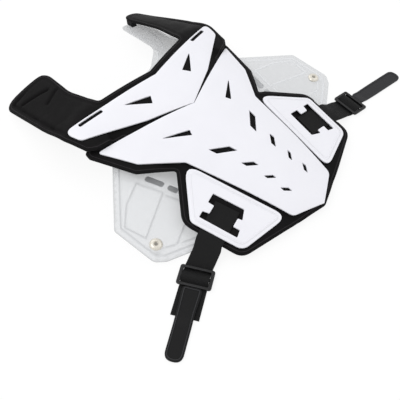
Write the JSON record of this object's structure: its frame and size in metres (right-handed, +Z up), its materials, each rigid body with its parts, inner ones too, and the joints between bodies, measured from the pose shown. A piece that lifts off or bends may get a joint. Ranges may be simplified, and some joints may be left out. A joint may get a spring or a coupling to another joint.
{
  "type": "motorcycle protective vest",
  "caption": "Chest and back protector with white front plates on black foam pads, shoulder pads, a clear back shell and side straps with slide buckles, lying on its back.",
  "frame": {"origin": "on the floor under the middle of the vest's box, straps included", "axes": "+X across the vest to the viewer's right, +Y from the waist to the neck, +Z up, out of the chest"},
  "size_m": [0.624, 0.4972, 0.0738],
  "materials": {
    "white_plastic": "satin gloss",
    "foam": "matte cloth over foam",
    "clear_plastic": "clear, slightly milky",
    "webbing": "woven",
    "buckle": "moulded",
    "rubber": "moulded",
    "rivet": "polished"
  },
  "bodies": {
    "root": {"back_plate": "clear_plastic", "back_rivet_left": "rivet", "back_rivet_right": "rivet", "chest_pad": "foam", "collar_pad": "foam", "shoulder_tab_left": "webbing", "shoulder_tab_right": "webbing", "chest_plate": "white_plastic", "collar_plate": "white_plastic", "side_plate_left": "white_plastic", "side_plate_right": "white_plastic", "strap_left": "webbing", "strap_right": "webbing", "buckle_left": "buckle", "buckle_right": "buckle", "tongue_left": "rubber", "tongue_right": "rubber"}
  },
  "joints": []
}
